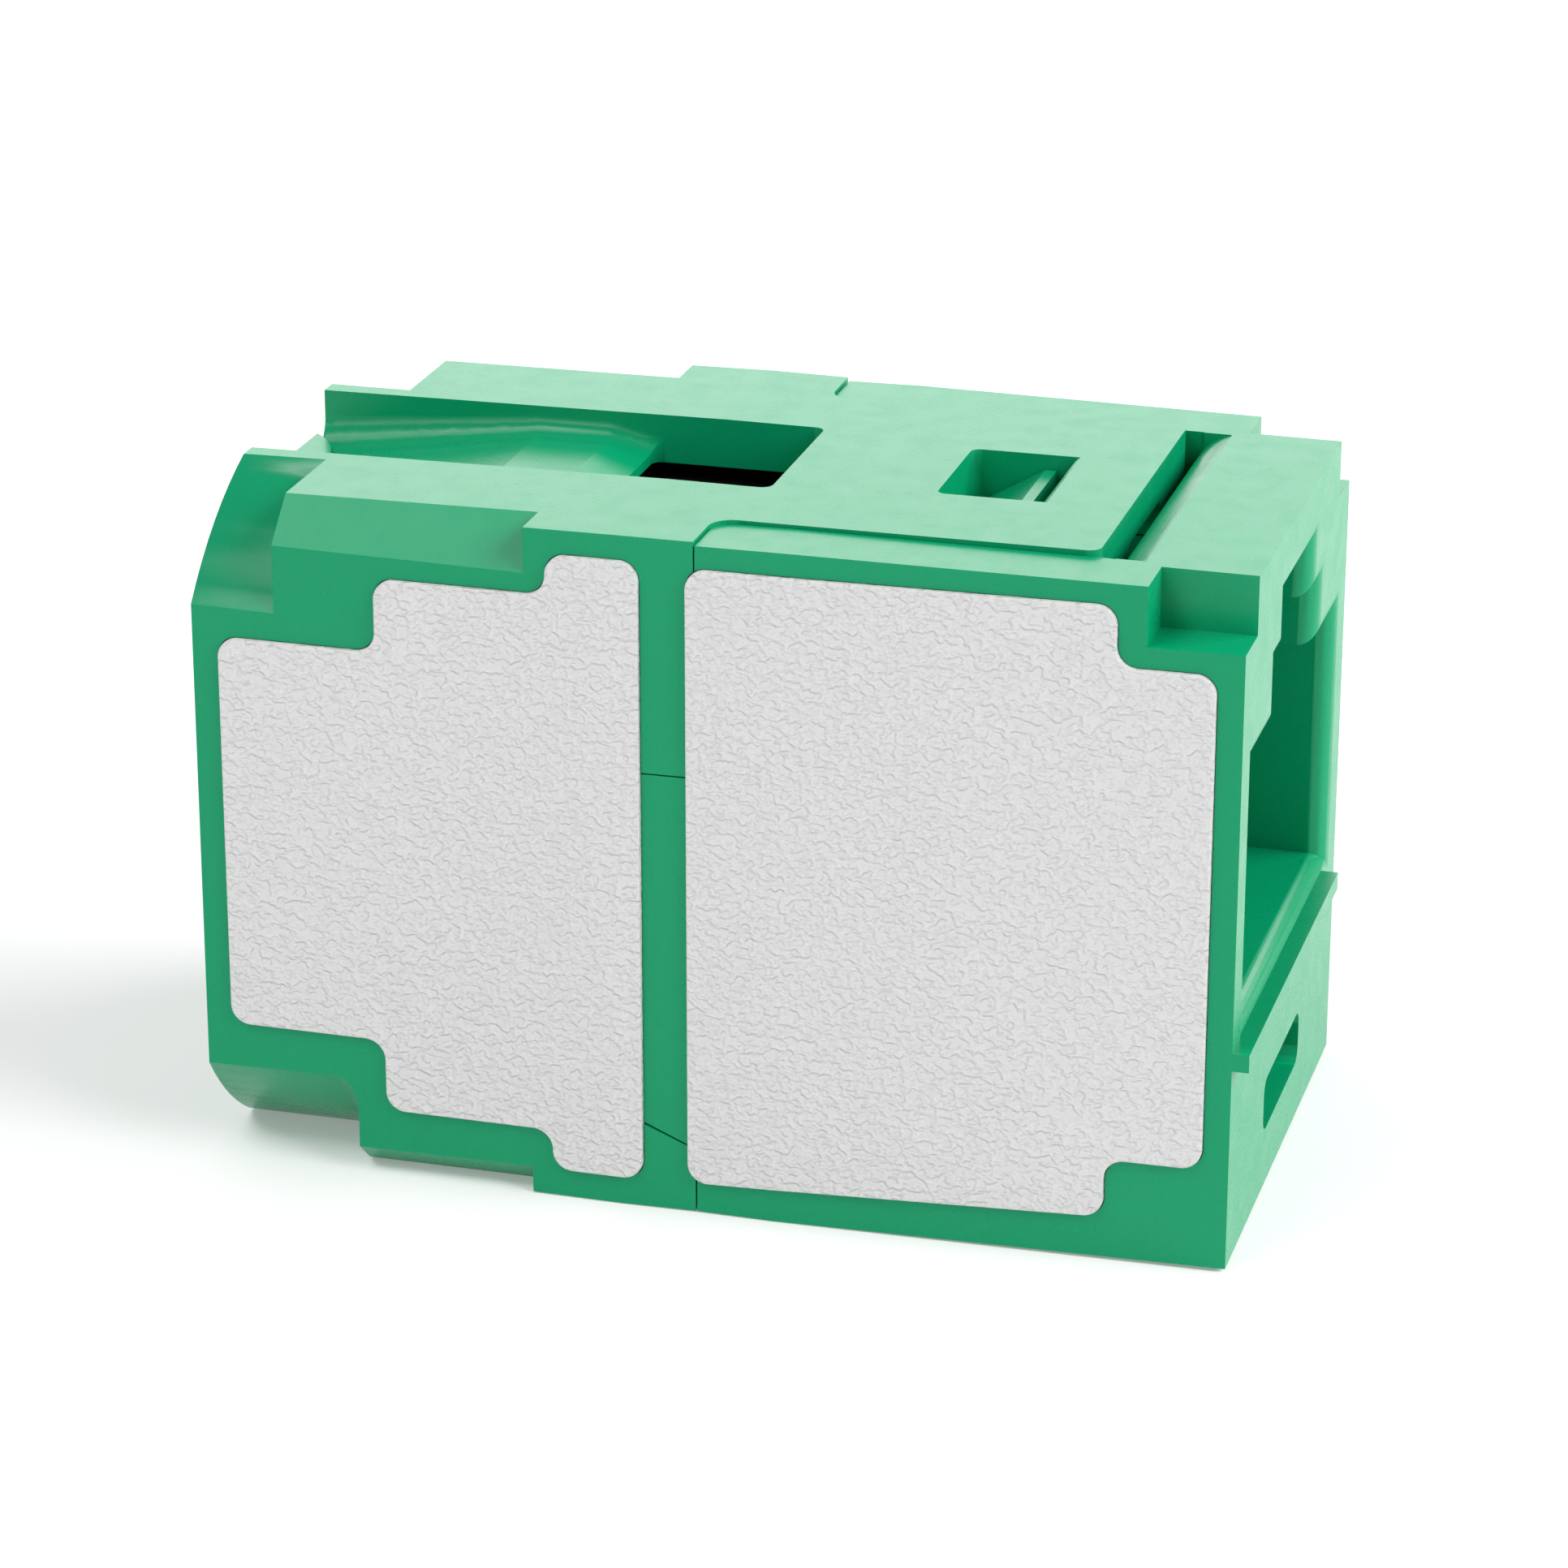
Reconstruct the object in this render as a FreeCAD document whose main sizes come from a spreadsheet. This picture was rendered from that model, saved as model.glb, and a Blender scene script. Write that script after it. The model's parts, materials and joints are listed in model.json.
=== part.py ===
import FreeCAD, Part
import math
import os
import re

# One-position plug connector: a rear housing with a push-in spring clamp for the wire,
# snapped on to a front housing with the mating socket. Millimetres, +Z up.
# The origin is under the middle of the plug, +X points to the mating end, and the
# housing is symmetric about the XZ plane. Stations along X are measured from the rear
# end face, so every helper below shifts them back by half the overall length.

doc = FreeCAD.newDocument("plug_connector")

DIMENSIONS = [
    # overall block
    ("length", 27.1), ("half_width", 7.5), ("rear_top", 18.1), ("front_top", 18.0),
    ("split_station", 13.31), ("seam", 0.04),
    ("rear_part_line", 11.26), ("front_part_line", 15.38),
    ("end_inset", 0.165), ("split_inset", 0.03), ("end_rise", 0.09), ("split_rise", 0.015),
    # rear end crown and the chamfered middle section
    ("crown_length", 2.24), ("crown_radius", 9.65), ("crown_centre", 8.95),
    ("keel_length", 4.15), ("keel_radius", 9.05), ("keel_centre", 7.85), ("keel_fillet", 0.6),
    ("shoulder_station", 8.92), ("shoulder_half", 6.16), ("shoulder_angle", 42.7),
    ("sill_high", 0.76), ("sill_angle", 40.2),
    # screwdriver trough and release window in the top
    ("trough_half", 2.72), ("trough_land", 16.98), ("trough_land_end", 0.96),
    ("trough_crest", 17.32), ("crest_start", 6.1), ("crest_end", 8.03),
    ("trough_exit", 16.97), ("cove", 0.47), ("bowl_wall", 17.27), ("bowl_radius", 0.85),
    ("window_start", 9.25), ("window_end", 13.96), ("window_corner", 0.3),
    ("window_floor", 16.78),
    # snap tongue over the front housing
    ("tongue_half", 5.49), ("tongue_end", 23.07), ("tongue_under", 16.2),
    ("tongue_root", 0.6), ("tongue_corner", 0.35),
    ("snap_start", 18.1), ("snap_end", 20.77), ("snap_half", 1.98), ("snap_bevel", 0.28),
    ("snap_corner", 0.25), ("channel_half", 1.85), ("channel_top", 17.13),
    ("hook_half", 1.9), ("hook_heel", 18.2), ("hook_heel_top", 16.63),
    ("hook_crest_start", 20.05), ("hook_crest_end", 20.35), ("hook_crest", 17.7),
    # front housing
    ("deck", 16.1), ("slot_end", 23.5), ("lead_run", 0.74), ("lead_drop", 0.45), ("lead_radius", 1.5),
    ("lead_across", 1.08), ("lead_under", 1.46),
    ("notch_station", 24.68), ("notch_half", 5.79), ("notch_floor", 16.38),
    ("socket_end", 16.5), ("socket_half", 5.81), ("socket_floor", 6.3), ("socket_top", 13.14),
    ("step_half", 3.04), ("step_top", 14.78), ("key_half", 1.99), ("key_top", 16.18),
    ("key_station", 21.5), ("mouth_round", 0.55),
    ("rib_proud", 0.43), ("rib_low", 5.5), ("rib_high", 5.97), ("rib_end", 5.43),
    ("pocket_half", 2.5), ("pocket_low", 1.68), ("pocket_high", 3.14), ("pocket_depth", 6.0),
    ("pocket_corner", 0.4),
    ("flap_station", 11.93), ("flap_low", 2.36), ("flap_high", 11.87), ("flap_drop", 0.8),
    # side panels
    ("panel_back", 6.95), ("panel_proud", 0.13), ("panel_gap", 0.02), ("panel_corner", 0.53),
    ("panel_skew", 1.95),
    # wire chamber
    ("chamber_start", 3.0), ("chamber_half", 6.1), ("chamber_low", 1.4), ("chamber_top", 13.9),
    ("well_start", 8.4), ("well_end", 13.6), ("well_half", 4.5),
    ("entry_height", 6.4), ("entry_radius", 3.7), ("funnel_radius", 4.6), ("funnel_depth", 1.2),
    # clamp
    ("cage_start", 3.6), ("cage_end", 11.0), ("cage_half", 5.1), ("cage_low", 2.0),
    ("cage_top", 11.55), ("cage_sheet", 0.6), ("cage_roof_end", 8.8),
    ("bar_start", 4.0), ("bar_end", 17.2), ("bar_half", 2.95), ("bar_low", 9.75),
    ("bar_thick", 1.2),
    ("spring_half", 4.2), ("spring_sheet", 0.5), ("post_station", 4.6), ("post_height", 3.85),
    ("post_radius", 0.45), ("eye_radius", 0.85), ("eye_bore", 0.5), ("leaf_length", 7.7),
    ("leaf_angle", 45.0), ("leaf_tip_half", 2.8), ("leaf_wing", 7.3),
    ("base_start", 5.7), ("base_end", 10.8), ("base_sheet", 0.4),
    # release pusher
    ("head_start", 8.7), ("head_end", 13.0), ("head_half", 4.2), ("head_low", 14.6),
    ("head_top", 16.3), ("leg_start", 9.3), ("leg_end", 9.85), ("leg_inner", 3.2),
    ("leg_low", 9.45), ("dish_radius", 2.5), ("dish_depth", 0.5),
    # contact
    ("arm_half", 2.2), ("arm_sheet", 0.8), ("arm_start", 14.3), ("arm_bend", 17.6),
    ("arm_pinch", 21.8), ("arm_tip", 23.5), ("pinch_gap", 0.3), ("tip_gap", 1.3),
    ("rivet_station", 15.6), ("rivet_offset", 1.15), ("rivet_radius", 0.45),
    ("rivet_head", 0.8), ("rivet_head_height", 0.35),
    ("clip_start", 18.0), ("clip_end", 20.4), ("clip_half", 2.95), ("clip_sheet", 0.4),
    ("clip_rise", 1.8),
    ("carrier_start", 13.7), ("carrier_end", 16.4), ("carrier_half", 4.4),
    ("carrier_low", 7.6), ("carrier_top", 13.1), ("carrier_slot", 3.05), ("carrier_room", 1.25),
    ("cage_rivet_station", 6.3), ("cage_rivet_offset", 1.7),
]

dims = doc.addObject("Spreadsheet::Sheet", "dims")
for row, (alias, value) in enumerate(DIMENSIONS, start=1):
    dims.set(f"A{row}", alias)
    dims.set(f"B{row}", str(value))
    dims.setAlias(f"B{row}", alias)
doc.recompute()

REACH = 3  # how far a cutter runs past the wall it cuts
PAIR = ((1, "-"), (2, ""))  # the number and the sign of Y for each of two like pieces
BAR_MIDDLE = "(bar_low + bar_thick / 2)"


def formula(text):
    """Turn 'length - seam' into an expression on the sheet."""
    return re.sub(r"[a-z][a-z_]*", r"dims.\g<0>", str(text))


def size(alias):
    return float(dims.get(alias))


def station_x(station):
    """X of a station given as a number."""
    return station - (size("length") + size("rib_proud")) / 2


def bind(part, **values):
    for name, text in values.items():
        part.setExpression(name, formula(text))


def place(part, station, across, height):
    """Bind the position of a part: a station along X, then Y and Z."""
    part.setExpression("Placement.Base.x", formula(f"({station}) - (length + rib_proud) / 2"))
    part.setExpression("Placement.Base.y", formula(across))
    part.setExpression("Placement.Base.z", formula(height))


def turn(part, axis, angle):
    rotation = FreeCAD.Rotation(FreeCAD.Vector(*axis), angle)
    part.Placement = FreeCAD.Placement(FreeCAD.Vector(), rotation)


def box(name, stations, across, heights):
    """Block between the (low, high) formulas given for X, Y and Z."""
    part = doc.addObject("Part::Box", name)
    bind(part, Length=f"({stations[1]}) - ({stations[0]})", Width=f"({across[1]}) - ({across[0]})",
         Height=f"({heights[1]}) - ({heights[0]})")
    place(part, stations[0], across[0], heights[0])
    return part


def slanted_box(name, stations, start, angle, run=4, thick=4):
    """Block whose underside starts at start = (across, height) and tilts about X."""
    part = doc.addObject("Part::Box", name)
    turn(part, (1, 0, 0), 0)
    bind(part, Length=f"({stations[1]}) - ({stations[0]})", Width=run, Height=thick)
    part.setExpression("Placement.Rotation.Angle", formula(angle))
    place(part, stations[0], *start)
    return part


def frustum(name, stations, first, second):
    """Drafted block along X; first and second are (half width, bottom, top) at its ends."""
    part = doc.addObject("Part::Wedge", name)
    turn(part, (0, 0, 1), -90)
    bind(part, Ymin=0, Ymax=f"({stations[1]}) - ({stations[0]})",
         Xmin=f"-({first[0]})", Xmax=first[0], Zmin=first[1], Zmax=first[2],
         X2min=f"-({second[0]})", X2max=second[0], Z2min=second[1], Z2max=second[2])
    place(part, stations[0], 0, 0)
    return part


def rod_x(name, stations, height, radius, across=0):
    part = doc.addObject("Part::Cylinder", name)
    turn(part, (0, 1, 0), 90)
    bind(part, Radius=radius, Height=f"({stations[1]}) - ({stations[0]})")
    place(part, stations[0], across, height)
    return part


def rod_y(name, station, height, radius, half):
    part = doc.addObject("Part::Cylinder", name)
    turn(part, (1, 0, 0), -90)
    bind(part, Radius=radius, Height=f"2 * ({half})")
    place(part, station, f"-({half})", height)
    return part


def rod_z(name, station, across, heights, radius):
    part = doc.addObject("Part::Cylinder", name)
    bind(part, Radius=radius, Height=f"({heights[1]}) - ({heights[0]})")
    place(part, station, across, heights[0])
    return part


def mirrored(part):
    """The same shape on the other side of the XZ plane."""
    copy = doc.addObject("Part::Mirroring", f"{part.Name}_mirrored")
    copy.Source = part
    copy.Base = FreeCAD.Vector(0, 0, 0)
    copy.Normal = FreeCAD.Vector(0, 1, 0)
    return copy


def both(*parts):
    return [copy for part in parts for copy in (part, mirrored(part))]


def fuse(name, parts, refine=True):
    result = doc.addObject("Part::MultiFuse", name)
    result.Shapes = parts
    result.Refine = refine
    doc.recompute()
    return result


def cut(name, base, tools):
    """Remove every tool from the base in one boolean."""
    removed = tools[0] if len(tools) == 1 else fuse(f"{name}_tools", tools, refine=False)
    result = doc.addObject("Part::Cut", name)
    result.Base = base
    result.Tool = removed
    result.Refine = True
    doc.recompute()
    return result


def fillet(name, base, radius, wanted):
    """Round the edges of the base for which wanted(edge) is true."""
    doc.recompute()
    result = doc.addObject("Part::Fillet", name)
    result.Base = base
    result.Edges = [(number, radius, radius) for number, edge in enumerate(base.Shape.Edges, start=1)
                    if wanted(edge)]
    doc.recompute()
    return result


def runs_along(edge, axis):
    """True for a straight edge parallel to the axis, 0 for X, 1 for Y and 2 for Z."""
    if len(edge.Vertexes) != 2:
        return False
    step = edge.Vertexes[1].Point - edge.Vertexes[0].Point
    return step.Length > 1e-6 and abs(step[axis]) > 0.999 * step.Length


def corner_cutter(name, station, across, radius, heights, side):
    """What a round of this radius leaves in the corner at (station, across)."""
    far_station = f"({station}) + {radius}"
    if side > 0:
        inner, outer = across, f"({across}) + {radius}"
    else:
        inner, outer = f"({across}) - {radius}", across
    block = box(f"{name}_block", (station, far_station), (inner, outer), heights)
    post = rod_z(f"{name}_post", far_station, outer if side > 0 else inner, heights, radius)
    return cut(name, block, [post])


# ---------------------------------------------------------------- shared outlines

REAR_PANEL = [("0.715", "11.92", "3.81", "14.43"), ("4.96", "11.92", "1.86", "16.38"),
              ("9.5", "11.92", "0.77", "17.46")]
FRONT_PANEL = [("13.12", "26.43", "2.78", "15.82"), ("13.12", "23.96", "0.83", "17.39")]
PANEL_SKEW_STATION = 13.12


def panel_outline(name, blocks, grow, skewed):
    """Stepped outline with rounded corners, cut through the -Y wall; grow adds clearance."""
    depth = (f"-(half_width + {REACH})", "-panel_back")
    plates = [box(f"{name}_plate_{number}", (f"{start} - {grow}", f"{end} + {grow}"), depth,
                  (f"{low} - {grow}", f"{high} + {grow}"))
              for number, (start, end, low, high) in enumerate(blocks, start=1)]
    outline = fuse(f"{name}_outline", plates)
    if skewed:
        wedge = doc.addObject("Part::Box", f"{name}_skew")
        turn(wedge, (0, 1, 0), -size("panel_skew"))
        bind(wedge, Length=20, Width=f"2 * {REACH}", Height=2)
        low = f"{blocks[-1][2]} - {grow} - 2"
        place(wedge, PANEL_SKEW_STATION, f"-(half_width + {REACH})", low)
        outline = cut(f"{name}_skewed", outline, [wedge])
    return fillet(f"{name}_rounded", outline, size("panel_corner"), lambda edge: runs_along(edge, 1))


def tongue_outline(name, grow, heights, end):
    """Plan outline of the snap tongue with the rounds where it leaves the rear housing."""
    half = f"tongue_half + {grow}"
    slab = box(f"{name}_slab", ("split_station - 1", end), (f"-({half})", half), heights)
    corners = [corner_cutter(f"{name}_root_{side}", f"split_station + {grow}", f"{sign}({half})",
                             "tongue_root", heights, direction)
               for side, sign, direction in (("far", "", 1), ("near", "-", -1))]
    return fuse(f"{name}_plan", [slab] + corners)


def round_over(name, station, top, radius, half):
    """Cutter that rounds an upper edge running along Y at this station."""
    block = box(f"{name}_block", (station, f"({station}) + {radius}"), (f"-({half})", half),
                (f"{top} - {radius}", f"{top} + 1"))
    barrel = rod_y(f"{name}_barrel", f"({station}) + {radius}", f"{top} - {radius}", radius, f"{half} + 1")
    return cut(name, block, [barrel])


def flaps(name, grow, outer):
    """Side flaps of the front housing that lie in the rear housing's side walls."""
    pair = frustum(f"{name}_pair", (f"flap_station - {grow}", "split_station + 0.5"),
                   (outer, f"flap_low - {grow}", f"flap_high + {grow}"),
                   (outer, f"flap_low - flap_drop - {grow}", f"flap_high + {grow}"))
    middle = box(f"{name}_middle", ("flap_station - 1", "split_station + 1"),
                 ("-chamber_half", "chamber_half"), ("0", "rear_top"))
    return cut(name, pair, [middle])


# ---------------------------------------------------------------- rear housing

def trough_section(station, top, radius):
    """U-shaped wire across the trough: straight sides, quarter rounds and a flat floor."""
    x = station_x(station)
    half, high = size("trough_half"), size("rear_top") + 1
    floor, flat = top - radius, half - radius
    bend = radius * (1 - math.sqrt(0.5))

    def point(y, z):
        return FreeCAD.Vector(x, y, z)

    return Part.Wire([
        Part.makeLine(point(-half, high), point(-half, top)),
        Part.Arc(point(-half, top), point(-half + bend, floor + bend), point(-flat, floor)).toShape(),
        Part.makeLine(point(-flat, floor), point(flat, floor)),
        Part.Arc(point(flat, floor), point(half - bend, floor + bend), point(half, top)).toShape(),
        Part.makeLine(point(half, top), point(half, high)),
        Part.makeLine(point(half, high), point(-half, high)),
    ])


def build_trough():
    """Funnel that narrows from a deep bowl at the rear to a shallow crest before the window."""
    cove = size("cove")
    sections = [
        trough_section(-0.3, size("bowl_wall"), size("bowl_radius")),
        trough_section(size("crest_start"), size("trough_crest") + cove, cove),
        trough_section(size("crest_end"), size("trough_crest") + cove, cove),
        trough_section(size("window_start") + 0.4, size("trough_exit") + cove, cove),
    ]
    funnel = doc.addObject("Part::Feature", "trough_funnel")
    funnel.Shape = Part.makeLoft(sections, True, True)
    land = rod_z("trough_land_post", "trough_land_end - trough_half", "0", ("0", "trough_land"),
                 "trough_half + 0.01")
    return cut("trough", funnel, [land])


def build_rear_housing():
    body = [
        frustum("rear_body", ("0", "rear_part_line"),
                ("half_width - end_inset", "end_rise", "rear_top - end_rise"),
                ("half_width", "0", "rear_top")),
        frustum("rear_rim", ("rear_part_line", "split_station"), ("half_width", "0", "rear_top"),
                ("half_width - split_inset", "split_rise", "rear_top - split_rise")),
    ]
    tongue = tongue_outline("tongue", "0", ("tongue_under", "rear_top - split_rise"), "tongue_end")
    tongue_tip = station_x(size("tongue_end"))
    tongue = fillet("tongue_rounded", tongue, size("tongue_corner"),
                    lambda edge: runs_along(edge, 2) and abs(edge.BoundBox.XMin - tongue_tip) < 1e-4)
    shell = fuse("rear_shell", body + [tongue])

    crown = cut("crown", box("crown_block", ("-1", "crown_length"), ("-9", "9"), ("crown_centre", "20")),
                [rod_x("crown_barrel", ("-2", "crown_length + 1"), "crown_centre", "crown_radius")])
    keel = cut("keel", box("keel_block", ("-1", "keel_length"), ("-9", "9"), ("-1", "4")),
               [rod_x("keel_barrel", ("-2", "keel_length + 1"), "keel_centre", "keel_radius")])
    keel_end = station_x(size("keel_length"))
    keel = fillet("keel_rounded", keel, size("keel_fillet"),
                  lambda edge: edge.Curve.TypeId == "Part::GeomCircle"
                  and edge.BoundBox.XLength < 1e-6 and abs(edge.BoundBox.XMin - keel_end) < 1e-4)
    shoulder = slanted_box("shoulder", ("0", "shoulder_station"), ("shoulder_half", "rear_top"),
                           "-shoulder_angle")
    sill = slanted_box("sill", ("keel_length", "shoulder_station"), ("half_width", "sill_high"),
                       "180 + sill_angle")
    window = fillet("window", box("window_block", ("window_start", "window_end"),
                                  ("-trough_half", "trough_half"), ("chamber_top - 1", "rear_top + 1")),
                    size("window_corner"), lambda edge: runs_along(edge, 2))
    chamber = box("chamber", ("chamber_start", "split_station + 1"), ("-chamber_half", "chamber_half"),
                  ("chamber_low", "chamber_top"))
    well = box("well", ("well_start", "well_end"), ("-well_half", "well_half"),
               ("chamber_top - 1", "window_floor"))
    entry = rod_x("entry", ("-1", "chamber_start + 1"), "entry_height", "entry_radius")
    funnel = doc.addObject("Part::Cone", "entry_funnel")
    turn(funnel, (0, 1, 0), 90)
    bind(funnel, Radius1="funnel_radius", Radius2="entry_radius", Height="funnel_depth")
    place(funnel, "0", "0", "entry_height")
    snap_end = station_x(size("snap_end"))
    snap = fillet("snap_window", box("snap_block", ("snap_start", "snap_end"), ("-snap_half", "snap_half"),
                                     ("tongue_under - 1", "rear_top + 1")), size("snap_corner"),
                  lambda edge: runs_along(edge, 2) and edge.BoundBox.XMin < snap_end - 0.1)
    channel = box("hook_channel", ("snap_end - snap_bevel", "tongue_end + 1"),
                  ("-channel_half", "channel_half"), ("tongue_under - 1", "channel_top"))
    lead = round_over("snap_lead", "snap_end", "rear_top", "snap_bevel", "snap_half")
    recess = panel_outline("rear_recess", REAR_PANEL, "panel_gap", False)
    overhang = panel_outline("overhang_recess", FRONT_PANEL, "panel_gap", True)
    return cut("rear_housing", shell, both(shoulder, sill, recess, overhang) + [
        crown, keel, build_trough(), window, chamber, well, entry, funnel, snap, lead, channel,
        flaps("flap_gap", "seam", "half_width + 1")])


# ---------------------------------------------------------------- front housing

def build_front_housing():
    block = frustum("front_body", ("front_part_line", "length"), ("half_width", "0", "front_top"),
                    ("half_width - end_inset", "end_rise", "front_top - end_rise"))
    socket = fuse("socket", [
        box("socket_wide", ("socket_end", "length + 1"), ("-socket_half", "socket_half"),
            ("socket_floor", "socket_top")),
        box("socket_step", ("socket_end", "length + 1"), ("-step_half", "step_half"),
            ("socket_floor + 1", "step_top")),
        box("socket_key", ("key_station", "length + 1"), ("-key_half", "key_half"),
            ("socket_floor + 1", "key_top")),
    ])
    hollow = cut("front_hollow", block, [socket])
    mouth_x = station_x(size("length"))
    mouth_half = size("socket_half") + 0.1
    mouth = fillet("front_mouth", hollow, size("mouth_round"),
                   lambda edge: edge.BoundBox.XMin > mouth_x - 1e-4 and edge.BoundBox.ZMin > 1
                   and max(-edge.BoundBox.YMin, edge.BoundBox.YMax) < mouth_half)
    rim = frustum("front_rim", ("split_station + seam", "front_part_line"),
                  ("half_width - split_inset", "split_rise", "front_top - split_rise"),
                  ("half_width", "0", "front_top"))
    rib = box("coding_rib", ("length - 1", "length + rib_proud"), ("-(half_width - end_inset)", "rib_end"),
              ("rib_low", "rib_high"))
    solid = fuse("front_solid", [mouth, rim, flaps("flap", "0", "half_width - split_inset"), rib])

    recess = tongue_outline("tongue_recess", "seam", ("deck", "front_top + 1"), "slot_end")
    slot = cut("slot_lead", box("slot_lead_block", ("slot_end - 0.1", "slot_end + lead_run"),
                                ("-tongue_half", "tongue_half"),
                                ("front_top - end_rise - lead_drop", "front_top + 1")),
               [rod_y("slot_lead_barrel", "slot_end + lead_across", "front_top - end_rise - lead_under",
                      "lead_radius", "tongue_half + 1")])
    notch = box("notch", ("notch_station", "length + 1"), ("notch_half", "half_width + 1"),
                ("notch_floor", "front_top + 1"))
    pocket = fillet("pocket", box("pocket_block", ("length - pocket_depth", "length + 1"),
                                  ("-pocket_half", "pocket_half"), ("pocket_low", "pocket_high")),
                    size("pocket_corner"), lambda edge: runs_along(edge, 0))
    passage = box("passage", ("split_station - 1", "socket_end + 0.5"), ("-carrier_half", "carrier_half"),
                  ("carrier_low", "carrier_top"))
    panel_recess = panel_outline("front_recess", FRONT_PANEL, "panel_gap", True)
    shell = cut("front_shell", solid, both(notch, panel_recess) + [recess, slot, pocket, passage])
    hook = [
        frustum("hook_ramp", ("hook_heel", "hook_crest_start"), ("hook_half", "deck - 0.5", "hook_heel_top"),
                ("hook_half", "deck - 0.5", "hook_crest")),
        box("hook_nose", ("hook_crest_start", "hook_crest_end"), ("-hook_half", "hook_half"),
            ("deck - 0.5", "hook_crest")),
    ]
    return fuse("front_housing", [shell] + hook)


# ---------------------------------------------------------------- side panels

def build_panels():
    """Textured panels: the outline in common with a skin that follows the drafted sides."""
    full = ("half_width + panel_proud", "0", "rear_top")
    at_split = ("half_width - split_inset + panel_proud", "0", "rear_top")
    at_end = ("half_width - end_inset + panel_proud", "0", "rear_top")
    rear_skin = fuse("rear_skin", [
        frustum("rear_skin_body", ("0", "rear_part_line"), at_end, full),
        frustum("rear_skin_rim", ("rear_part_line", "split_station"), full, at_split),
    ], refine=False)
    front_skin = fuse("front_skin", [
        frustum("front_skin_rim", ("split_station - 1", "front_part_line"), at_split, full),
        frustum("front_skin_body", ("front_part_line", "length"), full, at_end),
    ], refine=False)
    nodes = []
    for end, blocks, skin, skewed in (("rear", REAR_PANEL, rear_skin, False),
                                      ("front", FRONT_PANEL, front_skin, True)):
        outline = panel_outline(f"panel_{end}", blocks, "0", skewed)
        near = doc.addObject("Part::MultiCommon", f"panel_{end}_near")
        near.Shapes = [outline, skin]
        doc.recompute()
        far = mirrored(near)
        far.Label = f"panel_{end}_far"
        nodes += [near, far]
    return nodes


# ---------------------------------------------------------------- clamp and current path

def build_cage():
    """Folded steel cage round the wire space, open at both ends, with a short roof."""
    inside = ("-(cage_half - cage_sheet)", "cage_half - cage_sheet")
    outer = box("cage_outer", ("cage_start", "cage_end"), ("-cage_half", "cage_half"),
                ("cage_low", "cage_top"))
    inner = box("cage_inner", ("cage_start - 1", "cage_end + 1"), inside,
                ("cage_low + cage_sheet", "cage_top - cage_sheet"))
    roof = box("cage_roof_gap", ("cage_roof_end", "cage_end + 1"), inside, ("cage_top - 1", "cage_top + 1"))
    post_hole = rod_y("cage_post_hole", "post_station", "post_height", "post_radius", "cage_half + 1")
    rivet_holes = [rod_z(f"cage_rivet_hole_{number}", "cage_rivet_station", f"{sign}cage_rivet_offset",
                         ("bar_low", "cage_top + 1"), "rivet_radius") for number, sign in PAIR]
    return cut("clamp_cage", outer, [inner, roof, post_hole] + rivet_holes)


def build_bar():
    bar = box("bar_blank", ("bar_start", "bar_end"), ("-bar_half", "bar_half"),
              ("bar_low", "bar_low + bar_thick"))
    holes = [rod_z(f"bar_{row}_hole_{number}", f"{row}_station", f"{sign}{row}_offset",
                   ("bar_low - 1", "bar_low + bar_thick + 1"), "rivet_radius")
             for row in ("cage_rivet", "rivet") for number, sign in PAIR]
    return cut("current_bar", bar, holes)


def build_rivet(name, station, across, low, high):
    """Rivet whose heads bear on the outer faces at low and high."""
    return fuse(name, [
        rod_z(f"{name}_shank", station, across, (low, high), "rivet_radius"),
        rod_z(f"{name}_foot", station, across, (f"{low} - rivet_head_height", low), "rivet_head"),
        rod_z(f"{name}_head", station, across, (high, f"{high} + rivet_head_height"), "rivet_head"),
    ])


def build_contact_arm(name, up):
    """One sprung arm of the socket contact: flat root, run in to the pinch, flared tip."""
    def heights(gap):
        if up:
            return f"{BAR_MIDDLE} + {gap} / 2", f"{BAR_MIDDLE} + {gap} / 2 + arm_sheet"
        return f"{BAR_MIDDLE} - {gap} / 2 - arm_sheet", f"{BAR_MIDDLE} - {gap} / 2"

    root, pinch, tip = heights("bar_thick"), heights("pinch_gap"), heights("tip_gap")
    arm = fuse(f"{name}_blank", [
        box(f"{name}_root", ("arm_start", "arm_bend"), ("-arm_half", "arm_half"), root),
        frustum(f"{name}_run", ("arm_bend", "arm_pinch"), ("arm_half", *root), ("arm_half", *pinch)),
        frustum(f"{name}_flare", ("arm_pinch", "arm_tip"), ("arm_half", *pinch), ("arm_half", *tip)),
    ])
    holes = [rod_z(f"{name}_hole_{number}", "rivet_station", f"{sign}rivet_offset",
                   ("bar_low - 2", "bar_low + 4"), "rivet_radius") for number, sign in PAIR]
    return cut(name, arm, holes)


def build_clip():
    """Flat steel loop round both contact arms."""
    loops = []
    for name, margin, sheet in (("outer", "0", "0"), ("inner", "1", "clip_sheet")):
        loops.append(box(f"clip_{name}", (f"clip_start - {margin}", f"clip_end + {margin}"),
                         (f"-(clip_half - {sheet})", f"clip_half - {sheet}"),
                         (f"{BAR_MIDDLE} - clip_rise + {sheet}", f"{BAR_MIDDLE} + clip_rise - {sheet}")))
    return cut("over_spring", loops[0], loops[1:])


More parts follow.
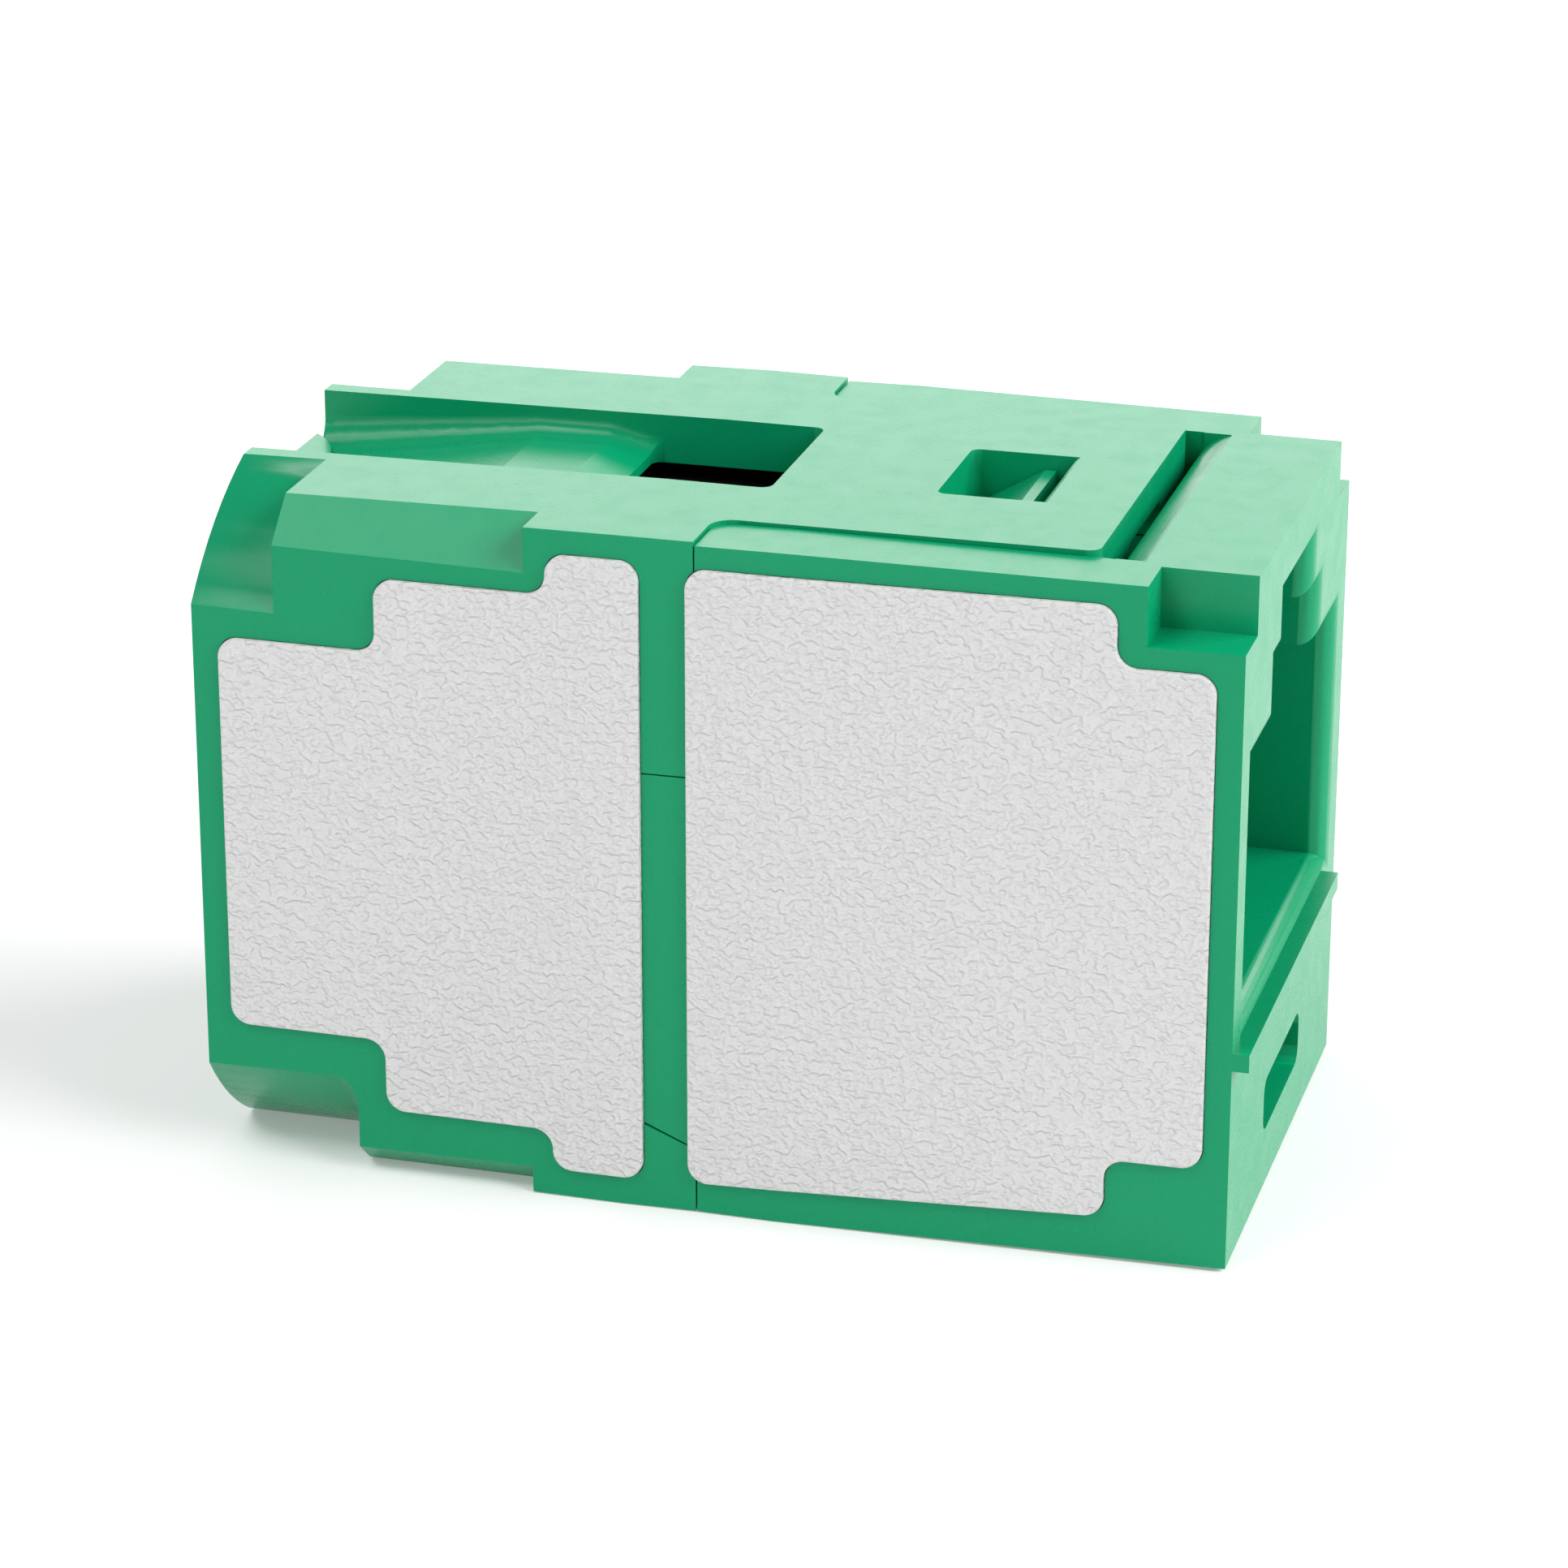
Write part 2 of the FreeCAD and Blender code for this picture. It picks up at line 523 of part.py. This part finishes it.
def build_carrier():
    """Insulating block that holds the bar where it crosses into the front housing."""
    inside = ("-carrier_slot", "carrier_slot")
    slot_heights = ("bar_low - carrier_room", "bar_low + bar_thick + carrier_room")
    block = box("carrier_block", ("carrier_start", "carrier_end"), ("-carrier_half", "carrier_half"),
                ("carrier_low", "carrier_top"))
    slot = box("carrier_slot_cut", ("carrier_start - 1", "carrier_end + 1"), inside, slot_heights)
    web = box("carrier_web_blank", ("carrier_start", "arm_start - 0.1"), inside, slot_heights)
    bar_room = box("carrier_bar_cut", ("carrier_start - 1", "arm_start"), inside,
                   ("bar_low", "bar_low + bar_thick"))
    return fuse("contact_carrier", [cut("carrier_tube", block, [slot]), cut("carrier_web", web, [bar_room])])


def build_leaf():
    """Clamping leaf: an eye round the post, a wide winged blade and a narrow biting tip."""
    eye = rod_y("leaf_eye", "post_station", "post_height", "eye_radius", "spring_half")
    blades = []
    for name, start, end, half in (("wing", "0", "leaf_wing", "spring_half"),
                                   ("tip", "leaf_wing - 1", "leaf_length", "leaf_tip_half")):
        blade = doc.addObject("Part::Wedge", f"leaf_{name}")
        turn(blade, (0, 1, 0), -size("leaf_angle"))
        bind(blade, Xmin=start, Xmax=end, X2min=start, X2max=end, Ymin=0, Ymax=f"2 * {half}",
             Zmin="-spring_sheet / 2", Zmax="spring_sheet / 2", Z2min="-spring_sheet / 2",
             Z2max="spring_sheet / 2")
        place(blade, "post_station", f"-{half}", "post_height")
        blades.append(blade)
    bore = rod_y("leaf_bore", "post_station", "post_height", "eye_bore", "spring_half + 1")
    return cut("spring_leaf", fuse("leaf_blank", [eye] + blades), [bore])


def build_spring_base():
    plate = box("base_plate", ("base_start", "base_end"), ("-spring_half", "spring_half"),
                ("cage_low + cage_sheet", "cage_low + cage_sheet + base_sheet"))
    heel = box("base_heel", ("base_end - base_sheet", "base_end"), ("-spring_half", "spring_half"),
               ("cage_low + cage_sheet", "cage_low + cage_sheet + 3 * base_sheet"))
    return fuse("spring_base", [plate, heel])


def build_pusher():
    """Release pusher: a head under the window with two legs astride the current bar."""
    head = box("pusher_head", ("head_start", "head_end"), ("-head_half", "head_half"),
               ("head_low", "head_top"))
    leg = box("pusher_leg", ("leg_start", "leg_end"), ("leg_inner", "head_half"),
              ("leg_low", "head_low + 0.5"))
    dish = rod_y("pusher_dish", "(window_start + head_end) / 2", "head_top + dish_radius - dish_depth",
                 "dish_radius", "trough_half")
    return cut("release_pusher", fuse("pusher_blank", [head] + both(leg)), [dish])


def build_clamp_parts():
    nodes = [build_cage(), build_bar(), build_spring_base(), build_leaf(), build_pusher(),
             build_contact_arm("contact_arm_upper", True), build_contact_arm("contact_arm_lower", False),
             build_clip(), build_carrier(),
             rod_y("spring_post", "post_station", "post_height", "post_radius", "cage_half")]
    for number, sign in PAIR:
        nodes.append(build_rivet(f"cage_rivet_{number}", "cage_rivet_station", f"{sign}cage_rivet_offset",
                                 "bar_low", "cage_top"))
        nodes.append(build_rivet(f"contact_rivet_{number}", "rivet_station", f"{sign}rivet_offset",
                                 "bar_low - arm_sheet", "bar_low + bar_thick + arm_sheet"))
    return nodes


# ---------------------------------------------------------------- build, check and write

nodes = [build_rear_housing(), build_front_housing()] + build_panels() + build_clamp_parts()
doc.recompute()

for item in doc.Objects:
    if "Invalid" in item.State or "Error" in item.State:
        raise RuntimeError(f"{item.Name} failed: {item.State}")
for node in nodes:
    if node.Shape.isNull() or not node.Shape.isValid():
        raise RuntimeError(f"{node.Label} has no valid shape")

os.makedirs("parts", exist_ok=True)
for node in nodes:
    node.Shape.exportStep(f"parts/{node.Label}.step")
    solids, volume = len(node.Shape.Solids), node.Shape.Volume
    print(f"{node.Label}: {solids} solid, {volume:.2f} mm3")
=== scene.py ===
"""Looks for the one-position plug connector: materials, softened edges, studio and camera."""

import json
import math

import bpy
from mathutils import Matrix, Vector


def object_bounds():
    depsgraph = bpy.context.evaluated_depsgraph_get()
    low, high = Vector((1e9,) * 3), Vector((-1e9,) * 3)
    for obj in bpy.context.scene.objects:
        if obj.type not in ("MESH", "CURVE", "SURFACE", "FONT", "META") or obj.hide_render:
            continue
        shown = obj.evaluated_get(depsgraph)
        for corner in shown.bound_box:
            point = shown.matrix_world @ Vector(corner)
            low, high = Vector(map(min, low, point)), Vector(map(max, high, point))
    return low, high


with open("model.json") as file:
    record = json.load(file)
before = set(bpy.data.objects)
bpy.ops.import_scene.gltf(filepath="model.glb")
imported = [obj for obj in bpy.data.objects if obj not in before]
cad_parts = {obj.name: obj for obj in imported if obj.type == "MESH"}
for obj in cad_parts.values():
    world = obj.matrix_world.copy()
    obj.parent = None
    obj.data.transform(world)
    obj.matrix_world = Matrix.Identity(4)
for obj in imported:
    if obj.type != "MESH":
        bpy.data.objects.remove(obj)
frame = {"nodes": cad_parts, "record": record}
cad_low, cad_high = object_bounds()
NODES = frame["nodes"]
SLOT_OF = {part["node"]: part["material_slot"] for part in frame["record"]["subparts"]}

MM = 0.001


# ---------------------------------------------------------------- shader helpers

NOISE_ROUGHNESS = 0.55
NOISE_RANGE = (0.3, 0.7)        # most values of a noise texture lie in it


class Nodes:
    """Short names for building one material's node tree."""

    def __init__(self, name):
        self.material = bpy.data.materials.new(name)
        self.material.use_nodes = True
        self.tree = self.material.node_tree
        self.shader = self.tree.nodes["Principled BSDF"]
        self.place = self.add("ShaderNodeTexCoord").outputs["Object"]

    def add(self, kind, **settings):
        """A new node with these settings."""
        node = self.tree.nodes.new(kind)
        for key, value in settings.items():
            setattr(node, key, value)
        return node

    def link(self, source, target):
        """Join an output to an input."""
        self.tree.links.new(source, target)

    def feed(self, socket, source):
        """Join an output to one of the shader's inputs."""
        self.link(source, self.shader.inputs[socket])

    def fix(self, socket, value):
        """Give one of the shader's inputs a uniform value."""
        self.shader.inputs[socket].default_value = value

    def stretched(self, scale):
        """Object coordinates scaled by a vector."""
        mapping = self.add("ShaderNodeMapping")
        mapping.inputs["Scale"].default_value = scale
        self.link(self.place, mapping.inputs["Vector"])
        return mapping.outputs["Vector"]

    def noise(self, size, detail=3, place=None):
        """Noise whose features are about this size in metres."""
        node = self.add("ShaderNodeTexNoise")
        node.inputs["Scale"].default_value = 1 / size
        node.inputs["Detail"].default_value = detail
        node.inputs["Roughness"].default_value = NOISE_ROUGHNESS
        self.link(place or self.place, node.inputs["Vector"])
        return node.outputs["Fac"]

    def spread(self, source, low, high, source_range=NOISE_RANGE):
        """The source mapped from source_range to the range low to high, and clipped to it."""
        node = self.add("ShaderNodeMapRange")
        node.inputs["From Min"].default_value, node.inputs["From Max"].default_value = source_range
        node.inputs["To Min"].default_value = low
        node.inputs["To Max"].default_value = high
        self.link(source, node.inputs["Value"])
        return node.outputs["Result"]

    def vary_colour(self, source, colour, darkest, lightest):
        """Base colour between two tints of one colour, as the source runs over NOISE_RANGE."""
        node = self.add("ShaderNodeMix", data_type="RGBA")
        node.inputs["A"].default_value = (*tinted(colour, darkest), 1)
        node.inputs["B"].default_value = (*tinted(colour, lightest), 1)
        self.link(self.spread(source, 0, 1), node.inputs["Factor"])
        self.feed("Base Color", node.outputs["Result"])

    def add_scaled(self, first, second, factor):
        """first plus factor times second."""
        node = self.add("ShaderNodeMath", operation="MULTIPLY_ADD")
        self.link(second, node.inputs[0])
        node.inputs[1].default_value = factor
        self.link(first, node.inputs[2])
        return node.outputs["Value"]

    def sagged(self, place, source, drop):
        """Coordinates lifted by drop times the source, so that bumps hang over at their foot."""
        lift = self.add("ShaderNodeVectorMath", operation="MULTIPLY_ADD")
        self.link(source, lift.inputs[0])
        lift.inputs[1].default_value = (0, 0, drop)
        self.link(place, lift.inputs[2])
        return lift.outputs["Vector"]

    def bump(self, height, depth):
        """Bumps as deep as depth where the height runs from 0 to 1."""
        node = self.add("ShaderNodeBump")
        node.inputs["Distance"].default_value = depth
        self.link(height, node.inputs["Height"])
        self.feed("Normal", node.outputs["Normal"])


def tinted(colour, factor):
    """The colour, lighter or darker by a factor."""
    return tuple(min(1.0, channel * factor) for channel in colour)


# ---------------------------------------------------------------- materials

# Flow mottle, patches of uneven gloss, skin grain.
FLOW_SIZE = 2.5 * MM
FLOW_TINTS = (0.99, 1.01)
GLOSS_SIZE = 0.9 * MM
GLOSS_SPREAD = 0.03
SKIN_SIZE = 0.12 * MM
SKIN_DEPTH = 0.0001 * MM


def moulded_plastic(name, colour, roughness, specular):
    """Satin moulded plastic: faint flow mottle, uneven gloss and a very fine skin grain."""
    nodes = Nodes(name)
    nodes.vary_colour(nodes.noise(FLOW_SIZE), colour, *FLOW_TINTS)
    nodes.feed("Roughness", nodes.spread(nodes.noise(GLOSS_SIZE), roughness - GLOSS_SPREAD,
                                         roughness + GLOSS_SPREAD))
    nodes.fix("Specular IOR Level", specular)
    nodes.bump(nodes.noise(SKIN_SIZE, detail=2), SKIN_DEPTH)
    return nodes.material


# Wrinkles with flat tops, sagging a little, and finer pits over them.
WRINKLE_SIZE = 0.2 * MM
WRINKLE_STRETCH = (0.8, 1, 1.15)
WRINKLE_SAG = 0.12 * MM
WRINKLE_RANGE = (0.38, 0.62)    # the noise below it is valley floor, above it plateau
# Painted shade and light: the wrinkle valleys are coloured a little darker and the plateaus a
# little lighter.
WRINKLE_SHADE_TINTS = (0.992, 1.008)
PIT_SIZE = 0.09 * MM
PIT_SHARE = 0.3
PIT_ROUGHNESS = (0.62, 0.74)
GRAIN_DEPTH = 0.047 * MM
GRAIN_SPECULAR = 0.25


def textured_plastic(name, colour):
    """Matte plastic with the leathery, eroded grain of a textured mould."""
    nodes = Nodes(name)
    grain_place = nodes.stretched(WRINKLE_STRETCH)
    plain = nodes.noise(WRINKLE_SIZE, detail=1, place=grain_place)
    sagged_place = nodes.sagged(grain_place, plain, WRINKLE_SAG)
    wrinkles = nodes.spread(nodes.noise(WRINKLE_SIZE, detail=1, place=sagged_place), 0, 1,
                            WRINKLE_RANGE)
    pits = nodes.noise(PIT_SIZE, detail=1)
    # Painted shade in the wrinkle valleys and painted light on the plateaus, through the base
    # colour.
    nodes.vary_colour(wrinkles, colour, *WRINKLE_SHADE_TINTS)
    nodes.feed("Roughness", nodes.spread(pits, *PIT_ROUGHNESS))
    nodes.fix("Specular IOR Level", GRAIN_SPECULAR)
    nodes.bump(nodes.add_scaled(wrinkles, pits, PIT_SHARE), GRAIN_DEPTH)
    return nodes.material


# Rolling lines and faint clouds.
ROLLING_SIZE = 0.05 * MM
ROLLING_STRETCH = (0.04, 1, 1)
ROLLING_DEPTH = 0.003 * MM
ROLLING_SPREAD = (-0.08, 0.1)
CLOUD_SIZE = 1.2 * MM
CLOUD_TINTS = (0.93, 1.05)


def rolled_metal(name, colour, roughness):
    """Stamped strip: rolling lines along X, faint clouding."""
    nodes = Nodes(name)
    lines = nodes.noise(ROLLING_SIZE, detail=4, place=nodes.stretched(ROLLING_STRETCH))
    nodes.vary_colour(nodes.noise(CLOUD_SIZE), colour, *CLOUD_TINTS)
    nodes.fix("Metallic", 1.0)
    smoothest, roughest = (roughness + step for step in ROLLING_SPREAD)
    nodes.feed("Roughness", nodes.spread(lines, smoothest, roughest))
    nodes.bump(lines, ROLLING_DEPTH)
    return nodes.material


GREEN = (0.001, 0.270, 0.116)
BLACK = (0.004, 0.004, 0.004)
GREY = (0.615, 0.615, 0.615)
STEEL = (0.60, 0.59, 0.57)
TIN = (0.74, 0.72, 0.67)

MATERIALS = {
    "housing_green": moulded_plastic("housing_green", GREEN, 0.27, 0.21),
    "carrier_green": moulded_plastic("carrier_green", tinted(GREEN, 0.8), 0.45, 0.4),
    "pusher_black": moulded_plastic("pusher_black", BLACK, 0.5, 0.2),
    "panel_grey": textured_plastic("panel_grey", GREY),
    "spring_steel": rolled_metal("spring_steel", STEEL, 0.30),
    "tinned_copper": rolled_metal("tinned_copper", TIN, 0.26),
}


# ---------------------------------------------------------------- the frame's pieces

EDGE_RADIUS = {
    "housing_green": 0.05 * MM,
    "carrier_green": 0.05 * MM,
    "pusher_black": 0.08 * MM,
    "panel_grey": 0.05 * MM,
    "spring_steel": 0.03 * MM,
    "tinned_copper": 0.03 * MM,
}
EDGE_SEGMENTS = 2
WELD_DISTANCE = 0.0005 * MM
FLAT_ANGLE = math.radians(0.4)      # faces that meet at less are merged
SHARP_ANGLE = math.radians(28)      # faces that meet at more get a rounded edge


def soften_edges(piece, radius):
    """Weld and clean the imported mesh, then round its sharp edges by a small radius."""
    weld = piece.modifiers.new("weld", "WELD")
    weld.merge_threshold = WELD_DISTANCE
    clean = piece.modifiers.new("clean", "DECIMATE")
    clean.decimate_type = "DISSOLVE"
    clean.angle_limit = FLAT_ANGLE
    bevel = piece.modifiers.new("bevel", "BEVEL")
    bevel.width = radius
    bevel.segments = EDGE_SEGMENTS
    bevel.limit_method = "ANGLE"
    bevel.angle_limit = SHARP_ANGLE
    bevel.use_clamp_overlap = True
    bevel.harden_normals = True
    bevel.miter_outer = "MITER_ARC"


for node_name, node in NODES.items():
    slot_name = SLOT_OF[node_name]
    node.data.materials.clear()
    node.data.materials.append(MATERIALS[slot_name])
    soften_edges(node, EDGE_RADIUS[slot_name])


# ---------------------------------------------------------------- studio

FLOOR_HALF = 1.5
FLOOR_GAP = 0.02 * MM
FLOOR_COLOUR = (0.7, 0.7, 0.7)
FLOOR_CLOUD_SIZE = 0.4
FLOOR_TINTS = (0.9943, 1.0057)
FLOOR_ROUGHNESS = 0.9
FLOOR_SPECULAR = 0.1
FLOOR_GLOW = 0.22
WHITE = (1, 1, 1, 1)
SKY_STRENGTH = 0.20

# Name: centre, (width, height) in metres, radiance.
SOFTBOXES = {
    "back_softbox": ((-0.14, 0.52, 0.19), (0.75, 0.30), 1.95),
    "right_softbox": ((0.43, 0.05, 0.31), (0.7, 0.32), 5.7),
    "overhead_softbox": ((-0.22, -0.19, 0.47), (0.34, 0.25), 3.7),
    "crown_softbox": ((-0.19, -0.26, 0.44), (0.10, 0.08), 9.0),
    "front_softbox": ((-0.20, -0.51, 0.13), (0.18, 0.16), 4.4),
}
ENERGY_PER_RADIANCE = 4     # an area light's energy over its radiance and area

# The camera looks down on the near side and a little from the right.
CAMERA_AZIMUTH = math.radians(15.41)
CAMERA_ELEVATION = math.radians(20.68)
CAMERA_ROLL = math.radians(0.09)
CAMERA_DISTANCE = 138.9 * MM
CAMERA_LENS = 120.9
CAMERA_SENSOR = 36.0
CAMERA_CLIP = (0.01, 10)
AIM_OFFSET = Vector((-0.18, 0, 0.01)) * MM


def put_in_scene(name, data):
    """A new object with this data, linked to the scene."""
    thing = bpy.data.objects.new(name, data)
    bpy.context.scene.collection.objects.link(thing)
    return thing


def build_floor():
    """Plain pale floor under the plug."""
    mesh = bpy.data.meshes.new("floor")
    corners = [(-1, -1), (1, -1), (1, 1), (-1, 1)]
    mesh.from_pydata([(x * FLOOR_HALF, y * FLOOR_HALF, 0) for x, y in corners], [],
                     [(0, 1, 2, 3)])
    floor = put_in_scene("floor", mesh)
    floor.location.z = cad_low.z - FLOOR_GAP
    nodes = Nodes("pale_floor")
    nodes.vary_colour(nodes.noise(FLOOR_CLOUD_SIZE), FLOOR_COLOUR, *FLOOR_TINTS)
    nodes.fix("Roughness", FLOOR_ROUGHNESS)
    nodes.fix("Specular IOR Level", FLOOR_SPECULAR)
    nodes.fix("Emission Color", WHITE)
    nodes.fix("Emission Strength", FLOOR_GLOW)
    mesh.materials.append(nodes.material)


def build_world():
    """Even, dim white surroundings."""
    world = bpy.data.worlds.new("studio")
    world.use_nodes = True
    background = world.node_tree.nodes["Background"]
    background.inputs["Color"].default_value = WHITE
    background.inputs["Strength"].default_value = SKY_STRENGTH
    bpy.context.scene.world = world


def build_softbox(name, centre, size, radiance, target):
    """Rectangular soft light of the given radiance, facing the target."""
    width, height = size
    light = bpy.data.lights.new(name, "AREA")
    light.shape = "RECTANGLE"
    light.size = width
    light.size_y = height
    light.energy = radiance * width * height * ENERGY_PER_RADIANCE
    box = put_in_scene(name, light)
    box.location = centre
    box.rotation_euler = (target - Vector(centre)).to_track_quat("-Z", "Y").to_euler()


def build_camera(target):
    """Camera at the set azimuth, elevation and distance from the target."""
    forward = Vector((-math.sin(CAMERA_AZIMUTH) * math.cos(CAMERA_ELEVATION),
                      math.cos(CAMERA_AZIMUTH) * math.cos(CAMERA_ELEVATION),
                      -math.sin(CAMERA_ELEVATION)))
    data = bpy.data.cameras.new("camera")
    data.lens = CAMERA_LENS
    data.sensor_width = CAMERA_SENSOR
    data.clip_start, data.clip_end = CAMERA_CLIP
    camera = put_in_scene("camera", data)
    turn = forward.to_track_quat("-Z", "Y").to_matrix() @ Matrix.Rotation(CAMERA_ROLL, 3, "Z")
    camera.rotation_euler = turn.to_euler()
    camera.location = target - forward * CAMERA_DISTANCE
    bpy.context.scene.camera = camera


middle = (cad_low + cad_high) / 2
build_floor()
build_world()
for box_name, (box_centre, box_size, box_radiance) in SOFTBOXES.items():
    build_softbox(box_name, box_centre, box_size, box_radiance, middle)
build_camera(middle + AIM_OFFSET)
bpy.context.scene.view_settings.view_transform = "Standard"
